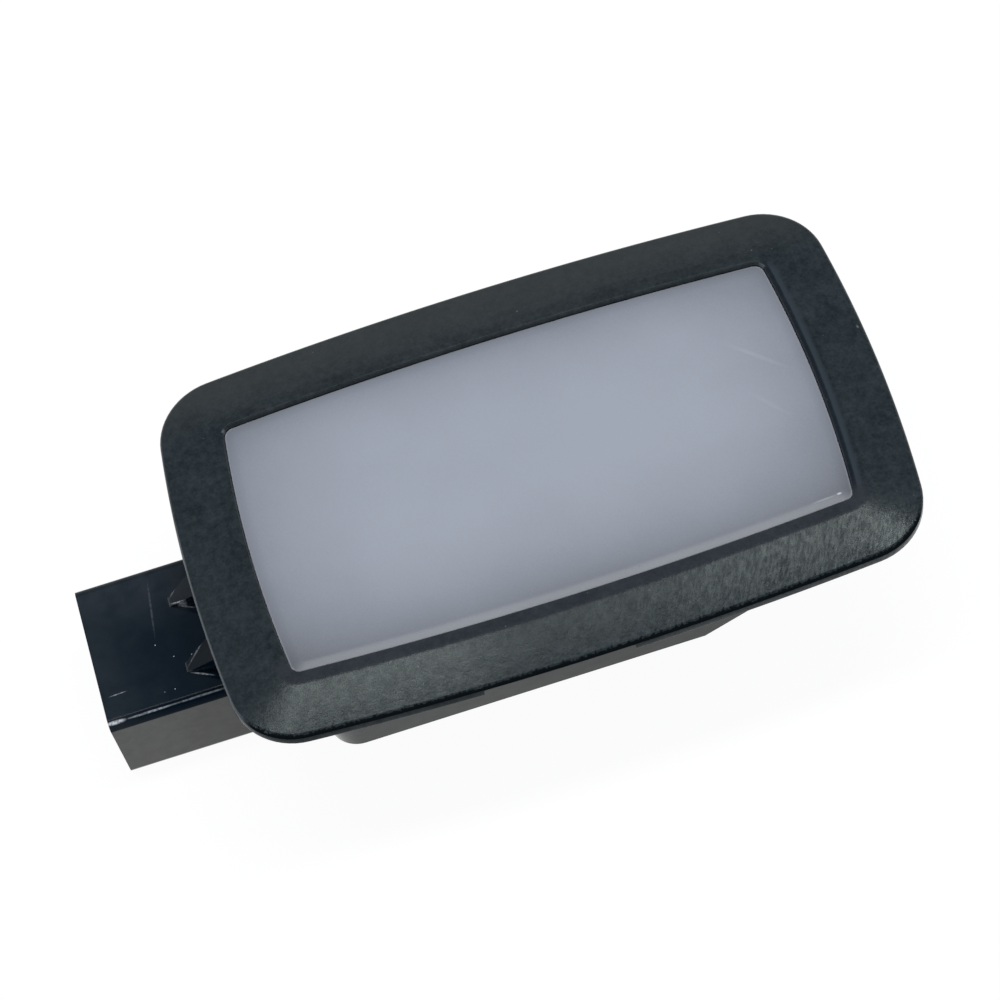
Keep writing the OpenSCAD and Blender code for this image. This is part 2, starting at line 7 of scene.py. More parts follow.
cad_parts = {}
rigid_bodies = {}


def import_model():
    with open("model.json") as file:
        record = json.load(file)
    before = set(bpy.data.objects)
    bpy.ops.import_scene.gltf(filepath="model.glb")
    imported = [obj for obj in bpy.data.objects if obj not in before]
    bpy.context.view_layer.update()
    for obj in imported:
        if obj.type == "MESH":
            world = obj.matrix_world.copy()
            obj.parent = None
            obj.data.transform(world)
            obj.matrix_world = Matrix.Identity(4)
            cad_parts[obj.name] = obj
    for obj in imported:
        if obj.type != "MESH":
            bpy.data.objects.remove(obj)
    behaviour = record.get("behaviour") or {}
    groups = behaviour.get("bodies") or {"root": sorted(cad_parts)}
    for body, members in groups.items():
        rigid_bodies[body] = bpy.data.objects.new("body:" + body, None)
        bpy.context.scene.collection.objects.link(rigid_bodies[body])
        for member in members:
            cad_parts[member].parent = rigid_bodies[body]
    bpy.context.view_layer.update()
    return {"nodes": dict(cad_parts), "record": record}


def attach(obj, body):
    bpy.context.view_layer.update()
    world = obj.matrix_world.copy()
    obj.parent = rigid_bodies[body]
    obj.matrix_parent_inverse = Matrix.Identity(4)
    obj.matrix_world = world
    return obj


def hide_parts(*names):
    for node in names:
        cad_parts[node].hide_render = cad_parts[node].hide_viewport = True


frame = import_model()

# Sizes of the lamp in millimetres, the same as the CAD's
MM = 0.001
BEZEL_LEN, BEZEL_WID = 80.0, 49.0
FACE_W = 7.3
OPEN_A, OPEN_B = BEZEL_LEN / 2 - FACE_W, BEZEL_WID / 2 - FACE_W
LONG_BOW, SHORT_BOW, CORNER_R = 1.8, 1.9, 7.6
OPEN_LONG_BOW, OPEN_SHORT_BOW, OPEN_CORNER_R = 1.15, 1.1, 1.25
LIP_Z, PANEL_Z, SEAT_Z = 25.0, 22.3, 22.6
RIM_W, FACE_FALL, EDGE_R = 1.45, 0.96, 0.55
SKIRT_IN, GROOVE_Z = 5.7, 22.7
COLLAR_IN, COLLAR_OUT, FLANGE_Z = 1.8, 3.2, 19.2
LENS_Z, LENS_T, LENS_GAP, LENS_EDGE_R = 24.55, 1.8, 0.1, 0.3
LENS_SLOPE_W, LENS_FALL = 1.2, 0.12
LENS_FLANGE_W, LENS_FOOT_Z = 1.6, 21.4
NIB_X, NIB_W, NIB_Z, NIB_H, NIB_PLAY = 20.0, 5.0, 19.45, 0.7, 0.15
CLIP_X, NOTCH_LEN, NOTCH_D, NOTCH_H = -4.3, 17.0, 1.0, 1.1

# Edge roundings and soft creases in millimetres
LIP_R, SKIRT_R, GROOVE_R, COLLAR_R, NOTCH_R = 0.28, 0.2, 0.15, 0.2, 0.3
RIM_CREASE, LENS_CREASE, HOUSING_EDGE_R = 0.4, 0.25, 0.22

# The opening's wall is straight up to this far below the lip, in millimetres
LIP_WALL_TOP = 0.3
# Where the cutters of the collar's windows start, and how far those and the notch's cutter reach past the walls
WINDOW_FROM_Y, WINDOW_PAST, NOTCH_PAST = 17.0, 0.01, 0.5

# Points nearer than this, in millimetres, are one point: in a drawn ring, and in a CAD node
RING_WELD, NODE_WELD = 0.02, 0.002

# Angles in degrees: of the bezel's and the lens's rounded edges, and those that count as smooth or flat
BEZEL_EDGE_TURN, LENS_EDGE_TURN = 80, 82
RING_SMOOTH, HOUSING_SMOOTH, HOUSING_SHARP, NODE_FLAT = 32, 30, 35, 0.5

# Steps along the outline's arcs: a short side, a corner and a long side
END_STEPS, CORNER_STEPS, SIDE_STEPS = 20, 14, 32
# Rings are drawn this far above one another, joined, and then lowered to their own heights
RING_STEP = 2.0


# ---------------------------------------------------------------- working on meshes

def deselect():
    bpy.ops.object.select_all(action="DESELECT")


def added(name):
    """The primitive just added, under its own name."""
    piece = bpy.context.object
    piece.name = piece.data.name = name
    return piece


def work_on(piece):
    deselect()
    piece.select_set(True)
    bpy.context.view_layer.objects.active = piece


def place_in_mesh(piece):
    work_on(piece)
    bpy.ops.object.transform_apply(location=True, rotation=True, scale=True)


def finish_with(piece, kind, **settings):
    work_on(piece)
    modifier = piece.modifiers.new(kind.title(), kind)
    for name, value in settings.items():
        setattr(modifier, name, value)
    bpy.ops.object.modifier_apply(modifier=modifier.name)


def smooth(piece, degrees):
    work_on(piece)
    bpy.ops.object.shade_smooth_by_angle(angle=radians(degrees))


def copy_of_node(node, name):
    """A copy of a CAD node with its loose triangles merged."""
    piece = frame["nodes"][node].copy()
    piece.data = piece.data.copy()
    piece.parent = None
    for key in list(piece.keys()):
        del piece[key]
    bpy.context.scene.collection.objects.link(piece)
    piece.name = piece.data.name = name
    work_on(piece)
    bpy.ops.object.mode_set(mode="EDIT")
    bpy.ops.mesh.select_all(action="SELECT")
    bpy.ops.mesh.remove_doubles(threshold=NODE_WELD * MM)
    bpy.ops.mesh.dissolve_limited(angle_limit=radians(NODE_FLAT))
    bpy.ops.object.mode_set(mode="OBJECT")
    return piece


def cut(piece, cutters):
    for cutter in cutters:
        finish_with(piece, "BOOLEAN", operation="DIFFERENCE", solver="EXACT", object=cutter)
        bpy.data.objects.remove(cutter)


def block(corner, opposite):
    """A block between two opposite corners in mm."""
    size = [abs(b - a) for a, b in zip(corner, opposite)]
    middle = [(a + b) / 2 for a, b in zip(corner, opposite)]
    deselect()
    bpy.ops.mesh.primitive_cube_add(size=1)
    piece = added("block")
    piece.scale = Vector(size) * MM
    piece.location = Vector(middle) * MM
    place_in_mesh(piece)
    return piece


# ---------------------------------------------------------------- the lamp's pillow outline

def mix(a, b, t):
    return a + (b - a) * t


def arc_radius(half, bow):
    return (half * half + bow * bow) / (2 * bow)


def outline_arcs(out):
    """The start of the outline at a distance out from the opening, and its arcs as (centre, angle, steps)."""
    t = out / FACE_W
    a, b = OPEN_A + out, OPEN_B + out
    r = OPEN_CORNER_R + out / 3 if out < 0 else mix(OPEN_CORNER_R, CORNER_R, t)
    r_side = arc_radius(a, mix(OPEN_LONG_BOW, LONG_BOW, t))
    r_end = arc_radius(b, mix(OPEN_SHORT_BOW, SHORT_BOW, t))
    side, end = Vector((0, b - r_side)), Vector((a - r_end, 0))
    span = (end - side).length
    along = (span ** 2 + (r_side - r) ** 2 - (r_end - r) ** 2) / (2 * span)
    across = sqrt((r_side - r) ** 2 - along ** 2)
    way = (end - side) / span
    fillet = side + along * way + across * Vector((way.y, -way.x))
    turn_end = atan2(fillet.y - end.y, fillet.x - end.x)
    turn_side = atan2(fillet.y - side.y, fillet.x - side.x)
    start = end + r_end * Vector((cos(turn_end), -sin(turn_end)))
    short = (2 * turn_end, END_STEPS)
    corner = (turn_side - turn_end, CORNER_STEPS)
    long = (radians(180) - 2 * turn_side, SIDE_STEPS)
    fx, fy = fillet
    return start, [
        (end, *short), (Vector((fx, fy)), *corner), (side, *long), (Vector((-fx, fy)), *corner),
        (-end, *short), (Vector((-fx, -fy)), *corner), (-side, *long), (Vector((fx, -fy)), *corner),
    ]


def draw_ring(piece, out, z):
    """One outline, drawn by spinning a point along its arcs, and kept as a vertex group."""
    start, arcs = outline_arcs(out)
    bpy.ops.mesh.select_all(action="DESELECT")
    bpy.ops.mesh.primitive_plane_add(size=MM, location=Vector((start.x, start.y, z)) * MM)
    bpy.ops.mesh.merge(type="CENTER")
    for centre, angle, steps in arcs:
        bpy.ops.mesh.spin(steps=steps, angle=angle, axis=(0, 0, -1),
                          center=Vector((centre.x, centre.y, z)) * MM)
    bpy.ops.mesh.select_linked()
    bpy.ops.mesh.remove_doubles(threshold=RING_WELD * MM)
    bpy.ops.object.vertex_group_assign_new()
    return piece.vertex_groups[-1].name


def pick_rings(piece, names):
    bpy.ops.mesh.select_all(action="DESELECT")
    for name in names:
        piece.vertex_groups.active_index = piece.vertex_groups[name].index
        bpy.ops.object.vertex_group_select()


def ring_form(name, section, closed):
    """A section of (distance out, height) points carried round the opening, closed on itself or capped."""
    deselect()
    bpy.ops.mesh.primitive_plane_add(size=MM)
    piece = added(name)
    bpy.ops.object.mode_set(mode="EDIT")
    bpy.ops.mesh.delete(type="VERT")
    bpy.ops.mesh.select_mode(type="VERT")
    rings = [draw_ring(piece, out, z + i * RING_STEP) for i, (out, z) in enumerate(section)]
    pairs = list(zip(rings, rings[1:]))
    if closed:
        pairs.append((rings[-1], rings[0]))
    for pair in pairs:
        pick_rings(piece, pair)
        bpy.ops.mesh.bridge_edge_loops()
    for i, ring in enumerate(rings):
        pick_rings(piece, [ring])
        bpy.ops.transform.translate(value=(0, 0, -i * RING_STEP * MM))
    if not closed:
        for ring in (rings[0], rings[-1]):
            pick_rings(piece, [ring])
            bpy.ops.mesh.edge_face_add()
    bpy.ops.mesh.select_all(action="SELECT")
    bpy.ops.mesh.normals_make_consistent(inside=False)
    bpy.ops.object.mode_set(mode="OBJECT")
    piece.vertex_groups.clear()
    return piece


def bend(out, z, r, start, stop, steps):
    """Points of a rounding in a section, between two angles in degrees."""
    turns = [radians(mix(start, stop, i / steps)) for i in range(steps + 1)]
    return [(out + r * cos(t), z + r * sin(t)) for t in turns]


def ease(out, z, reach, steepness, steps):
    """Points of a section that is level at first and then falls, softly turned round a crease."""
    ways = [2 * reach * i / steps for i in range(steps + 1)]
    return [(out - reach + d, z - steepness * d * d / (4 * reach)) for d in ways]


# ---------------------------------------------------------------- materials

class Value:
    """A number that a material works out at each place, for use in sums."""

    def __init__(self, finish, socket):
        self.finish, self.socket = finish, socket

    def __add__(self, other):
        return self.finish.math("ADD", self, other)

    def __sub__(self, other):
        return self.finish.math("SUBTRACT", self, other)

    def __rsub__(self, other):
        return self.finish.math("SUBTRACT", other, self)

    def __mul__(self, other):
        return self.finish.math("MULTIPLY", self, other)

    def __truediv__(self, other):
        return self.finish.math("DIVIDE", self, other)

    def __pow__(self, other):
        return self.finish.math("POWER", self, other)

    def __abs__(self):
        return self.finish.math("ABSOLUTE", self)


class Finish:
    """A material made of nodes that read the piece's own coordinates."""

    def __init__(self, name, **settings):
        self.material = bpy.data.materials.new(name)
        self.material.use_nodes = True
        self.nodes = self.material.node_tree.nodes
        self.links = self.material.node_tree.links
        self.shader = self.nodes["Principled BSDF"]
        self.place = self.nodes.new("ShaderNodeTexCoord").outputs["Object"]
        self.shade(**settings)

    def give(self, socket, source):
        """Links a socket to a value or an output, or sets it to a plain number, vector or colour."""
        source = getattr(source, "socket", source)
        if isinstance(source, bpy.types.NodeSocket):
            self.links.new(source, socket)
        elif socket.type == "RGBA":
            socket.default_value = (*source, 1)
        else:
            socket.default_value = source

    def shade(self, **settings):
        """Sets inputs of the shader, named with underscores for spaces."""
        for name, source in settings.items():
            self.give(self.shader.inputs[name.replace("_", " ")], source)

    def mapped(self, scale, turn, location=(0, 0, 0)):
        """The piece's coordinates for a texture that is stretched, turned about Z and moved."""
        node = self.nodes.new("ShaderNodeMapping")
        node.vector_type = "TEXTURE"
        for name, source in (("Vector", self.place), ("Location", location), ("Rotation", (0, 0, turn)),
                             ("Scale", scale)):
            self.give(node.inputs[name], source)
        return node.outputs["Vector"]

    def noise(self, size_mm, detail=3.0, roughness=0.5, stretch=(1, 1, 1), degrees=0.0):
        node = self.nodes.new("ShaderNodeTexNoise")
        for name, source in (("Scale", 1 / (size_mm * MM)), ("Detail", detail), ("Roughness", roughness),
                             ("Vector", self.mapped(stretch, radians(degrees)))):
            self.give(node.inputs[name], source)
        return Value(self, node.outputs["Fac"])

    def math(self, operation, a, b=0.0, clamp=False):
        node = self.nodes.new("ShaderNodeMath")
        node.operation = operation
        node.use_clamp = clamp
        for socket, source in zip(node.inputs, (a, b)):
            self.give(socket, source)
        return Value(self, node.outputs[0])

    def most(self, a, b):
        return self.math("MAXIMUM", a, b)

    def between(self, value, low, high, to_low=0.0, to_high=1.0):
        """A soft step from to_low to to_high, as the value goes from low to high."""
        node = self.nodes.new("ShaderNodeMapRange")
        node.interpolation_type = "SMOOTHSTEP"
        for name, source in (("Value", value), ("From Min", low), ("From Max", high), ("To Min", to_low),
                             ("To Max", to_high)):
            self.give(node.inputs[name], source)
        return Value(self, node.outputs["Result"])

    def axis(self, letter):
        node = self.nodes.new("ShaderNodeSeparateXYZ")
        self.give(node.inputs[0], self.place)
        return Value(self, node.outputs[letter])

    def step(self, distance, places, to_low=0.0, to_high=1.0):
        """A soft step of a distance, between two places in mm."""
        low, high = places
        return self.between(distance, low * MM, high * MM, to_low, to_high)

    def zone(self, letter, places, to_low=0.0, to_high=1.0):
        """A soft step along one axis, between two places in mm."""
        return self.step(self.axis(letter), places, to_low, to_high)

    def colours(self, factor, stops):
        """A ramp of colours, from stops of (position, colour)."""
        node = self.nodes.new("ShaderNodeValToRGB")
        ramp = node.color_ramp
        while len(ramp.elements) < len(stops):
            ramp.elements.new(0.5)
        for element, (position, colour) in zip(ramp.elements, stops):
            element.position = position
            element.color = (*colour, 1)
        self.give(node.inputs["Fac"], factor)
        return node.outputs["Color"]

    def blend(self, factor, under, over):
        """The colour over on the colour under, as far as the factor says."""
        node = self.nodes.new("ShaderNodeMix")
        node.data_type = "RGBA"
        for socket, source in ((node.inputs["Factor"], factor), (node.inputs[6], under), (node.inputs[7], over)):
            self.give(socket, source)
        return node.outputs[2]

    def stroke(self, start, end, width):
        """One along a thin tapering mark between two places (in mm, seen from above), none elsewhere."""
        (x0, y0), (x1, y1) = start, end
        scale = (dist(start, end) / 2 * MM, width / 2 * MM, 1)
        middle = ((x0 + x1) / 2 * MM, (y0 + y1) / 2 * MM, 0)
        length = self.nodes.new("ShaderNodeVectorMath")
        length.operation = "LENGTH"
        self.give(length.inputs[0], self.mapped(scale, atan2(y1 - y0, x1 - x0), middle))
        return self.between(length.outputs["Value"], 0.3, 1.0, 1.0, 0.0)

    def marks(self, strokes):
        """Several marks together, each a (start, end, width, strength)."""
        total = None
        for start, end, width, strength in strokes:
            mark = self.stroke(start, end, width) * strength
            total = mark if total is None else self.most(total, mark)
        return total

    def dust(self, spacing_mm, size, strength):
        """Sparse specks of dust, as a mask."""
        node = self.nodes.new("ShaderNodeTexVoronoi")
        self.give(node.inputs["Scale"], 1 / (spacing_mm * MM))
        self.give(node.inputs["Vector"], self.place)
        speck = self.between(node.outputs["Distance"], size * 0.5, size, 1.0, 0.0)
        return speck * self.between(self.noise(spacing_mm * 3, 1), 0.5, 0.62, 0.0, strength)

    def bump(self, height, depth_mm):
        node = self.nodes.new("ShaderNodeBump")
        self.give(node.inputs["Distance"], depth_mm * MM)
        self.give(node.inputs["Height"], height)
        self.shade(Normal=node.outputs["Normal"])


# Where the bezel's finish changes, in mm from nothing of a finish to all of it: heights, places across and along
SKIRT_TOP_Z, DARK_EDGE_Z, EDGE_HIGHLIGHT_Z, RIM_Z = (23.4, 23.5), (23.99, 23.91), (23.99, 23.9), (24.94, 24.985)
NEAR_RIM_Y, NEAR_SLOPE_Y, NEAR_EDGE_Y = (-14, -15.5), (-16.5, -18.5), (-18, -20.5)
FAR_FACE_Y, EDGE_HIGHLIGHT_Y, LENS_END_Y = (15.5, 22.5), (8, 3), (16.2, 14.6)
SKIRT_X, STREAKS_X, EDGE_HIGHLIGHT_X, RIGHT_EDGE_X = (-14, 14), (-10, 24), (-34, -37), (28, 34)
SHINE_LEFT_X, SHINE_RIGHT_X, SHINE_CORNER_X = (-6, -17), (2, 28), (27, 36)

# The same past the lens's right end, as distances from it: the two sides of a lit line and of a shaded one
LIT_FROM, LIT_TO, SHADED_FROM, SHADED_TO = (0.45, 0.6), (1.4, 0.8), (-0.3, 0.0), (0.6, 0.35)

# The bezel's colours, as linear red, green and blue: its own, and those of painted light and shade
FACE_DARK, FACE_PALE, FACE_FAR_LIT = (0.018, 0.025, 0.029), (0.045, 0.055, 0.061), (0.068, 0.071, 0.067)
LIT_LINE, SHADED_LINE, NEAR_RIM_LIT = (0.05, 0.062, 0.075), (0.012, 0.018, 0.026), (0.064, 0.064, 0.078)
DUST_AND_GLINT, EDGE_HIGHLIGHT, EDGE_SHADE = (0.36, 0.38, 0.4), (0.1, 0.115, 0.125), (0.007, 0.01, 0.011)

# Painted glints on the lip's two far corners, and a nick on the right edge, as (start, end, width, strength), with
# places and widths in mm
BEZEL_GLINTS_AND_NICK = [
    ((-31.95, 15.4), (-31.5, 16.0), 0.4, 0.3), ((31.3, 16.0), (32.1, 15.1), 0.45, 0.3),
    ((39.3, 4.3), (39.2, 4.9), 0.35, 0.4),
]


def beside_lens(f, face):
    """The bezel's face with a shaded line and a lit line past the lens's right end."""
    bow = f.axis("Y") * f.axis("Y") * (0.5 / (arc_radius(OPEN_B, OPEN_SHORT_BOW) * MM))
    from_lens = f.axis("X") + bow - OPEN_A * MM
    beside = f.step(abs(f.axis("Y")), LENS_END_Y)
    lit = f.step(from_lens, LIT_FROM) * f.step(from_lens, LIT_TO)
    shaded = f.step(from_lens, SHADED_FROM) * f.step(from_lens, SHADED_TO, 0.0, 0.75)
    face = f.blend(beside * lit * 0.95, face, LIT_LINE)
    return f.blend(beside * shaded, face, SHADED_LINE)


def grained_plastic():
    """Matte, with a fine grain that turns into streaks along the near slope, and a darker, smoother rim."""
    f = Finish("grained_black_plastic", IOR=1.5, Specular_Tint=(0.9, 1.0, 0.95))
    grain = f.noise(0.3, detail=3, roughness=0.6)
    coarse = f.noise(0.8, detail=2)
    streaks = f.noise(0.3, detail=3, roughness=0.55, stretch=(1, 4.5, 1), degrees=-25)

    # The relief: grain, which gives way to streaks towards the right of the near slope
    near = f.zone("Y", NEAR_SLOPE_Y)
    streaked = near * f.zone("X", STREAKS_X, 0.15, 1.0)
    leather = (grain + coarse) * (near * 0.2 + 0.55 - streaked * 0.3)
    f.bump(leather + streaks * (streaked * 1.5), depth_mm=0.017)

    # Masks: the flat rim, the skirt, a painted shade along the rounded edge, and a painted highlight on the left
    # part of it
    rim = f.zone("Z", RIM_Z)
    above_skirt = f.zone("Z", SKIRT_TOP_Z)
    skirt = (1.0 - above_skirt) * f.zone("X", SKIRT_X, 0.93, 0.62)
    ragged_height = f.axis("Z") + (streaks + grain - 1.0) * (0.4 * MM)
    edge = f.step(ragged_height, DARK_EDGE_Z) * above_skirt
    front = f.zone("Y", NEAR_EDGE_Y)
    right = (1.0 - front) * f.zone("X", RIGHT_EDGE_X)
    # Painted shade along the rounded edge: full on the front side, and a little on the right end
    dark = edge * f.most(front, right * 0.3)
    # A painted highlight on the left end's rounded edge, all but its far part
    edge_highlight = f.zone("Y", EDGE_HIGHLIGHT_Y) * f.zone("X", EDGE_HIGHLIGHT_X) * (f.zone("Z", EDGE_HIGHLIGHT_Z) * above_skirt)

    # The colour: the plastic's own tone, and on it painted light and shade
    cloud = (f.noise(4.0, detail=4, roughness=0.6) + (coarse + grain)) * 0.3333
    face = f.colours(cloud, [(0.38, FACE_DARK), (0.62, FACE_PALE)])
    # Painted light: the far face lighter and greyer
    face = f.blend(f.zone("Y", FAR_FACE_Y, 0.0, 0.6), face, FACE_FAR_LIT)
    face = beside_lens(f, face)
    # Painted light: the near part of the flat rim lighter and bluer
    face = f.blend(rim * f.zone("Y", NEAR_RIM_Y, 0.0, 0.36), face, NEAR_RIM_LIT)
    # Specks of dust, a nick, and painted glints on the lip's two far corners
    dust = f.dust(spacing_mm=1.6, size=0.07, strength=0.35)
    face = f.blend(f.most(dust, f.marks(BEZEL_GLINTS_AND_NICK)), face, DUST_AND_GLINT)
    # The painted highlight on the left end's rounded edge
    face = f.blend(edge_highlight, face, EDGE_HIGHLIGHT)
    # Painted shade along the rounded edge
    face = f.blend(dark, face, EDGE_SHADE)

    # The shine: on the near slope stronger towards its ends, and broken up by the streaks
    ends = f.zone("X", SHINE_LEFT_X, 0.0, 0.078) + f.zone("X", SHINE_RIGHT_X, 0.0, 0.052)
    ends = ends + f.zone("X", SHINE_CORNER_X, 0.0, 0.075)
    broken = (f.between(streaks * 0.8 + grain * 0.2, 0.36, 0.64, 0.6, 1.4) - 1.0) * streaked
    broken = broken + f.between(f.noise(1.0), 0.35, 0.65, 0.88, 1.12)
    shine = (1.0 - near) * 0.23 + near * ((ends + 0.079) * broken)
    dull = f.most(rim * 0.7, f.most(dark, skirt))
    f.shade(Base_Color=face, Roughness=f.between(grain, 0.3, 0.7, 0.2, 0.27),
            Specular_IOR_Level=shine * (1.0 - dull))
    return f.material


# Where the housing's finish changes, in mm: heights on the connector, places across and along
SIDE_TOP_Z, EDGE_FOOT_Z, EDGE_TOP_Z, GUSSET_Z = (11.2, 11.1), (11.14, 11.24), (12.398, 12.39), (12.45, 12.6)
HAZE_Y, NEAR_SIDE_Y = (-1, 8), (4, -4)
CONNECTOR_X, HAZE_X, MOUTH_X = (-33, -34), (-46, -54), (-50, -42)
BOWL_INDEX_X, MOUTH_INDEX_X, BOWL_SHINE_X = (-40, -36), (-50, -39), (-16, 8)

# The housing's colours, as linear red, green and blue: its own, a painted floor reflection, and scuffs with
# painted highlights
BOWL_BLACK, CONNECTOR_BLACK, HAZE = (0.009, 0.014, 0.015), (0.003, 0.009, 0.017), (0.029, 0.037, 0.045)
SIDE_DARK, SIDE_PALE, SCUFF_AND_HIGHLIGHT = (0.001, 0.002, 0.001), (0.016, 0.016, 0.009), (0.85, 0.88, 0.92)

# Scuffs and specks on the roof, then painted highlights along the connector's rounded near edge and the gussets'
# edges, as (start, end, width, strength) in mm
ROOF_SCUFFS_AND_HIGHLIGHTS = [
    ((-45.2, 8.4), (-46.2, -0.8), 0.34, 0.07), ((-53.0, -5.5), (-50.5, -5.4), 0.18, 0.5),
    ((-46.4, -0.9), (-46.2, -0.9), 0.22, 0.8), ((-44.7, -3.0), (-44.5, -3.0), 0.2, 0.8),
    ((-42.7, -3.4), (-42.5, -3.4), 0.2, 0.6), ((-46.7, -7.0), (-46.5, -7.0), 0.22, 0.6),
    ((-45.5, -7.0), (-45.3, -7.0), 0.2, 0.6),
    ((-54.3, -8.68), (-51.3, -8.69), 0.52, 1.0), ((-52.4, -8.7), (-45.0, -8.69), 0.28, 0.5),
    ((-49.0, -8.69), (-36.5, -8.66), 0.26, 0.28),
    ((-43.8, 3.7), (-40.6, 2.1), 0.3, 0.5), ((-43.8, 3.9), (-40.6, 6.2), 0.34, 0.22),
    ((-43.6, -5.4), (-40.4, -7.0), 0.3, 0.5), ((-43.8, -5.2), (-39.8, -2.7), 0.34, 0.22),
]


def glossy_plastic():
    """Smooth, near black, hazy on the connector's far part, with scuffs and painted reflection and highlights."""
    f = Finish("smooth_black_plastic", IOR=1.5, Specular_Tint=(0.93, 1.0, 1.0))
    haze = f.noise(3.0, detail=4, roughness=0.6)
    f.bump(f.noise(0.25, detail=2), depth_mm=0.002)
    connector = f.zone("X", CONNECTOR_X)
    sides = f.zone("Z", SIDE_TOP_Z)

    # The colour: plain, hazy, painted floor reflection on the connector's near side, scuffs and painted highlights
    hazy = f.most(f.zone("Y", HAZE_Y), f.zone("X", HAZE_X) * 0.6) * f.between(haze, 0.3, 0.6, 0.6, 1.0)
    base = f.blend(connector, BOWL_BLACK, CONNECTOR_BLACK)
    base = f.blend(hazy, base, HAZE)
    # Painted reflection of the floor: a warm mottled tint on the connector's near side
    floor_reflection = f.colours(f.noise(0.9, detail=4, roughness=0.65), [(0.32, SIDE_DARK), (0.68, SIDE_PALE)])
    base = f.blend(f.zone("Y", NEAR_SIDE_Y) * (sides * connector), base, floor_reflection)
    # Scuffs, and painted highlights on the connector's rounded near edge and gussets, broken up
    broken = f.between(f.noise(0.4, detail=2), 0.4, 0.54, 0.45, 1.0)
    base = f.blend(f.marks(ROOF_SCUFFS_AND_HIGHLIGHTS) * (broken * (1.0 - sides)), base, SCUFF_AND_HIGHLIGHT)

    # The shine: mottled, and less on the connector's rounded edge and its gussets
    rounding = f.zone("Z", EDGE_FOOT_Z) * f.zone("Z", EDGE_TOP_Z)
    unlit = connector * f.most(f.zone("Z", GUSSET_Z) * 0.76, rounding * 0.9)
    mottle = f.between(f.noise(1.4, detail=4, roughness=0.6), 0.3, 0.7, 0.45, 0.55)
    mottle = mottle * f.zone("X", BOWL_SHINE_X, 1.0, 0.78) * f.zone("X", MOUTH_X, 1.0, 0.93)
    f.shade(Base_Color=base, Roughness=f.between(haze, 0.35, 0.75, 0.12, 0.2),
            IOR=f.zone("X", BOWL_INDEX_X, 1.0, 0.83) * f.zone("X", MOUTH_INDEX_X, 1.47, 1.4),
            Specular_IOR_Level=mottle * (1.0 - unlit))
    return f.material


# Where the lens's finish changes, in mm: on its rounded edge and its ends, and on its fall towards the near edge
LENS_EDGE_Z, LENS_END_X, LENS_FOLD_Z, LENS_FOLD_Y = (24.44, 24.34), (27, 30.5), (24.545, 24.52), (-13, -15)
# The lens's near half, over which painted shade deepens towards the near edge
LENS_NEAR_Y = (-OPEN_B, 0.0)

# The lens's colours, as linear red, green and blue, with a painted highlight for its rounded edge, and one for
# scratches and a painted glint
BLACK, MILK, LENS_RIM_HIGHLIGHT = (0.0, 0.0, 0.0), (0.513, 0.538, 0.598), (0.75, 0.78, 0.86)
SCRATCH_AND_GLINT, SPECK = (0.95, 0.95, 0.95), (0.2, 0.21, 0.24)

# Two scratches, then a painted glint near the lens's near right corner as a core and a tail, as (start, end,
# width, strength) in mm
LENS_SCRATCHES_AND_GLINT = [
    ((23.9, 8.0), (31.2, 1.1), 0.7, 0.09), ((24.6, 1.2), (29.3, -4.9), 0.7, 0.05),
    ((29.95, -15.06), (30.7, -15.02), 0.32, 0.8), ((26.8, -15.26), (30.4, -15.08), 0.26, 0.22),
]
LENS_SPECK = ((7.1, -16.17), (7.35, -16.17), 0.3)


def frosted_lens():
    """Milky, in painted shade towards its edges and near half, with a painted highlight where it meets the
    opening.
    """
    f = Finish("frosted_lens", IOR=1.49, Roughness=0.34)
    f.bump(f.noise(0.2, detail=2), depth_mm=0.002)

    # The colour: painted shade falling off towards the four sides and over the near half, and clouded
    x = abs(f.axis("X") / (OPEN_A * MM))
    y = abs(f.axis("Y") / (OPEN_B * MM))
    light = (1.0 - x ** 4.5 * 0.34) * (1.0 - y ** 4.0 * 0.42)
    clouds = f.between(f.noise(9.0), 0.3, 0.7, -0.02, 0.02)
    light = light + (f.zone("Y", LENS_NEAR_Y, -0.16, 0.0) + clouds)
    light = light + f.between(f.noise(0.16, detail=2), 0.3, 0.7, -0.02, 0.02)
    face = f.colours(light, [(0.0, BLACK), (1.0, MILK)])
    # A painted highlight on the lens's rounded edge, stronger at its ends
    rim = f.zone("Z", LENS_EDGE_Z) * f.step(abs(f.axis("X")), LENS_END_X, 0.3, 0.8)
    face = f.blend(rim, face, LENS_RIM_HIGHLIGHT)
    # Scratches, and a painted glint near the near right corner
    face = f.blend(f.marks(LENS_SCRATCHES_AND_GLINT), face, SCRATCH_AND_GLINT)
    face = f.blend(f.stroke(*LENS_SPECK), face, SPECK)

    # The shine: a little less on the near fall
    fold = f.zone("Y", LENS_FOLD_Y) * f.zone("Z", LENS_FOLD_Z)
    f.shade(Base_Color=face, Specular_IOR_Level=0.5 - fold * 0.06)
    return f.material


def plain_finish(name, dark, light, size_mm, roughness, depth_mm=0.01, metal=0.0):
    """A fine mottled finish for small pieces."""
    f = Finish(name, Metallic=metal, IOR=1.5)
    grain = f.noise(size_mm, detail=4, roughness=0.6)
    f.shade(Base_Color=f.colours(grain, [(0.3, dark), (0.7, light)]),
            Roughness=f.between(grain, 0.3, 0.7, roughness * 0.85, roughness * 1.15))
    f.bump(grain, depth_mm)
    return f.material


# ---------------------------------------------------------------- pieces

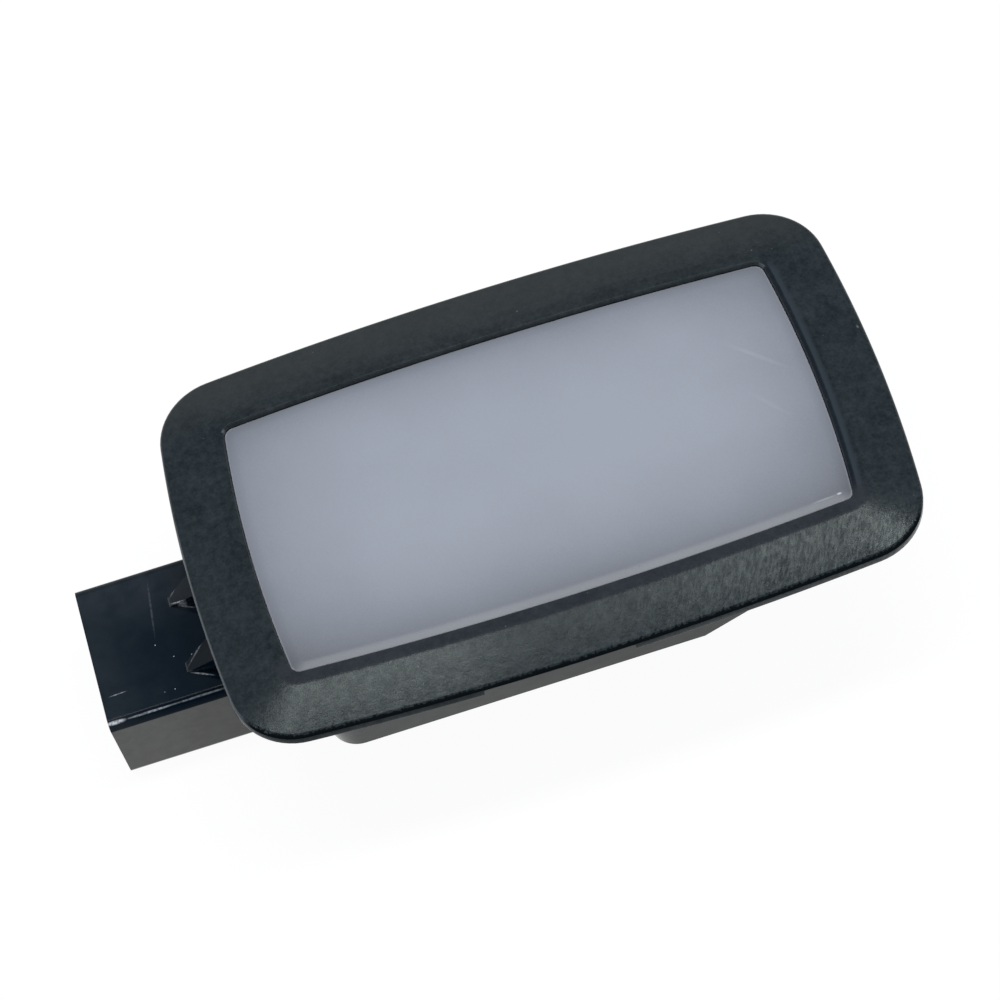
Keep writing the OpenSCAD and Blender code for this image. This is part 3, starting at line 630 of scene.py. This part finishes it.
def bezel():
    section = (
        [(0, SEAT_Z), (0, LIP_Z - LIP_WALL_TOP)]
        + bend(LIP_R, LIP_Z - LIP_R, LIP_R, 180, 90, steps=6)
        + ease(RIM_W, LIP_Z, RIM_CREASE, FACE_FALL / (FACE_W - EDGE_R - RIM_W), steps=7)
        + bend(FACE_W - EDGE_R, LIP_Z - FACE_FALL - EDGE_R, EDGE_R, BEZEL_EDGE_TURN, 0, steps=8)
        + bend(FACE_W - SKIRT_R, PANEL_Z + SKIRT_R, SKIRT_R, 0, -90, steps=3)
        + bend(SKIRT_IN + GROOVE_R, PANEL_Z + GROOVE_R, GROOVE_R, -90, -180, steps=2)
        + [(SKIRT_IN, GROOVE_Z), (COLLAR_OUT, GROOVE_Z)]
        + bend(COLLAR_OUT - COLLAR_R, FLANGE_Z + COLLAR_R, COLLAR_R, 0, -90, steps=3)
        + bend(COLLAR_IN + COLLAR_R, FLANGE_Z + COLLAR_R, COLLAR_R, -90, -180, steps=3)
        + [(COLLAR_IN, SEAT_Z)]
    )
    piece = ring_form("bezel_moulding", section, closed=True)
    half = NIB_W / 2 + NIB_PLAY
    low, high = NIB_Z - NIB_PLAY, NIB_Z + NIB_H + NIB_PLAY
    out_y, out_x = OPEN_B + COLLAR_OUT + WINDOW_PAST, OPEN_A + COLLAR_OUT + WINDOW_PAST
    windows = [
        block((sx * NIB_X - half, sy * WINDOW_FROM_Y, low), (sx * NIB_X + half, sy * out_y, high))
        for sx in (-1, 1) for sy in (-1, 1)
    ] + [
        block((sx * OPEN_A, -half, low), (sx * out_x, half, high)) for sx in (-1, 1)
    ]
    notch = block(
        (CLIP_X - NOTCH_LEN / 2, -BEZEL_WID / 2 - NOTCH_PAST, PANEL_Z - NOTCH_PAST),
        (CLIP_X + NOTCH_LEN / 2, NOTCH_D - BEZEL_WID / 2, PANEL_Z + NOTCH_H),
    )
    finish_with(notch, "BEVEL", width=NOTCH_R * MM, segments=3)
    cut(piece, windows + [notch])
    smooth(piece, RING_SMOOTH)
    return piece


def lens():
    # The gap round the lens is drawn at a third of its width, as thin as it looks
    body = -LENS_GAP / 3
    edge_z = LENS_Z - LENS_FALL - LENS_EDGE_R
    steepness = -LENS_FALL / (LENS_SLOPE_W - LENS_GAP - LENS_EDGE_R)
    soft = ease(-LENS_SLOPE_W, -LENS_Z, LENS_CREASE, steepness, steps=4)
    section = (
        [(-LENS_T, LENS_Z - LENS_T), (-LENS_T, LENS_FOOT_Z), (LENS_FLANGE_W, LENS_FOOT_Z), (LENS_FLANGE_W, SEAT_Z),
         (body, SEAT_Z)]
        + bend(body - LENS_EDGE_R, edge_z, LENS_EDGE_R, 0, LENS_EDGE_TURN, steps=8)
        + [(out, -z) for out, z in reversed(soft)]
    )
    piece = ring_form("lens_moulding", section, closed=False)
    smooth(piece, RING_SMOOTH)
    return piece


def rear_housing():
    piece = copy_of_node("rear_housing", "housing_moulding")
    finish_with(piece, "BEVEL", width=HOUSING_EDGE_R * MM, segments=3, limit_method="ANGLE",
                angle_limit=radians(HOUSING_SHARP), use_clamp_overlap=True, miter_outer="MITER_ARC")
    smooth(piece, HOUSING_SMOOTH)
    finish_with(piece, "WEIGHTED_NORMAL", keep_sharp=True, weight=80)
    return piece


def dress(piece, material, node=None):
    """Gives a piece its material and slot, and, where it is drawn anew, its node."""
    piece.data.materials.clear()
    piece.data.materials.append(material)
    if node:
        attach(piece, "root")
        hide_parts(node)


black_grain = grained_plastic()
black_gloss = glossy_plastic()
dress(bezel(), black_grain, "bezel")
dress(lens(), frosted_lens(), "lens")
dress(rear_housing(), black_gloss, "rear_housing")

steel = plain_finish("spring_steel", (0.5, 0.5, 0.51), (0.62, 0.62, 0.63), 0.6, 0.28, 0.004, metal=1.0)
tin = plain_finish("tinned_brass", (0.6, 0.57, 0.5), (0.72, 0.7, 0.62), 0.5, 0.3, 0.004, metal=1.0)
chip_black = plain_finish("chip_moulding", (0.01, 0.01, 0.011), (0.022, 0.022, 0.024), 0.2, 0.55)
tan = plain_finish("capacitor_ceramic", (0.3, 0.2, 0.11), (0.38, 0.27, 0.15), 0.3, 0.45)
board_green = plain_finish("solder_mask", (0.01, 0.09, 0.03), (0.016, 0.12, 0.045), 1.2, 0.3)
led_white = plain_finish("led_package", (0.75, 0.6, 0.15), (0.85, 0.75, 0.3), 0.4, 0.4)
bright_white = plain_finish("reflector_white", (0.78, 0.78, 0.76), (0.84, 0.84, 0.82), 2.0, 0.35)
finishes = {
    "reflector": bright_white, "circuit_board": board_green, "led_package": led_white, "chip_part": chip_black,
    "capacitor": tan, "terminal": tin, "screw": steel, "spring_steel": steel,
}
for part in frame["record"]["subparts"]:
    if part["material_slot"] in finishes:
        dress(frame["nodes"][part["node"]], finishes[part["material_slot"]])


# ---------------------------------------------------------------- camera, light and floor

# The camera's place in mm, the ways that its right side and its lens point, and its focal length on a 36 mm frame
CAMERA_PLACE = (-17.936, -179.04, 333.453)
CAMERA_RIGHT = (0.9537, -0.27709, -0.11693)
CAMERA_FORWARD = (0.03715, 0.49435, -0.86847)
CAMERA_FOCAL, CAMERA_FRAME = 116.841, 36
# How near and how far it sees, in metres
CAMERA_SEES = (0.01, 20)

# The light above: its place, what it points at, its two sides (all in metres) and its brightness
STRIP_PLACE, STRIP_AIM = (0.05, 0.082, 0.8), (0.05, 0, 0)
STRIP_LENGTH, STRIP_WIDTH, STRIP_RADIANCE = 0.68, 0.105, 14.6

# The floor: its side in metres, how far in mm it lies below the lamp, its glow and how much of that is seen
FLOOR_SIDE, FLOOR_DROP = 12, 0.02
FLOOR_GREY, FLOOR_GLOW, FLOOR_GLOW_SHARE = (0.8, 0.8, 0.8), 1.06, 0.9

# The surroundings: white up to the first height, and dim from the second one on
WHITE_UP_TO, DIM_FROM = 0.18, 0.3
WHITE, DIM = (1, 1, 1, 1), (0.15, 0.185, 0.235, 1)


def photo_camera():
    """The camera at the photo's place, found by fitting the lamp's outlines to it."""
    right, forward = Vector(CAMERA_RIGHT).normalized(), Vector(CAMERA_FORWARD).normalized()
    up = right.cross(forward).normalized()
    right = forward.cross(up)
    data = bpy.data.cameras.new("photo_camera")
    data.sensor_width = CAMERA_FRAME
    data.lens = CAMERA_FOCAL
    data.clip_start, data.clip_end = CAMERA_SEES
    camera = bpy.data.objects.new("photo_camera", data)
    bpy.context.scene.collection.objects.link(camera)
    turned = Matrix((right, up, -forward)).transposed().to_4x4()
    camera.matrix_world = Matrix.Translation(Vector(CAMERA_PLACE) * MM) @ turned
    bpy.context.scene.camera = camera


def overhead_strip():
    """A long soft light above the lamp. Its aim has the place's x, so that it isn't turned in its plane."""
    data = bpy.data.lights.new("overhead_strip", "AREA")
    data.shape = "RECTANGLE"
    data.size, data.size_y = STRIP_LENGTH, STRIP_WIDTH
    data.energy = STRIP_RADIANCE * pi * STRIP_LENGTH * STRIP_WIDTH
    light = bpy.data.objects.new("overhead_strip", data)
    bpy.context.scene.collection.objects.link(light)
    light.location = STRIP_PLACE
    light.rotation_euler = (Vector(STRIP_AIM) - Vector(STRIP_PLACE)).to_track_quat("-Z", "Y").to_euler()
    light.visible_camera = False


def pale_floor():
    """A matte floor that also glows where it is seen, so that it looks evenly white."""
    deselect()
    bpy.ops.mesh.primitive_plane_add(size=FLOOR_SIDE, location=(0, 0, -FLOOR_DROP * MM))
    floor = added("floor")
    place_in_mesh(floor)
    f = Finish("floor_paper", Roughness=0.9, Base_Color=FLOOR_GREY)
    glow = f.nodes.new("ShaderNodeEmission")
    glow.inputs["Strength"].default_value = FLOOR_GLOW
    rays = f.nodes.new("ShaderNodeLightPath").outputs
    mirrored = f.math("ADD", rays["Is Glossy Ray"], rays["Is Transmission Ray"])
    seen = f.math("ADD", rays["Is Camera Ray"], mirrored, clamp=True)
    both = f.nodes.new("ShaderNodeMixShader")
    f.give(both.inputs[0], seen * FLOOR_GLOW_SHARE)
    f.give(both.inputs[1], f.shader.outputs[0])
    f.give(both.inputs[2], glow.outputs[0])
    f.give(f.nodes["Material Output"].inputs["Surface"], both.outputs[0])
    floor.data.materials.append(f.material)


def surroundings():
    """White round the horizon and dim overhead, where the strip light does the work."""
    world = bpy.data.worlds.new("studio")
    bpy.context.scene.world = world
    world.use_nodes = True
    nodes, links = world.node_tree.nodes, world.node_tree.links
    way = nodes.new("ShaderNodeSeparateXYZ")
    links.new(nodes.new("ShaderNodeTexCoord").outputs["Generated"], way.inputs[0])
    ramp = nodes.new("ShaderNodeValToRGB")
    for element, height, colour in zip(ramp.color_ramp.elements, (WHITE_UP_TO, DIM_FROM), (WHITE, DIM)):
        element.position = height
        element.color = colour
    links.new(way.outputs["Z"], ramp.inputs["Fac"])
    links.new(ramp.outputs["Color"], nodes["Background"].inputs["Color"])


photo_camera()
pale_floor()
surroundings()
overhead_strip()
bpy.context.scene.view_settings.view_transform = "Standard"
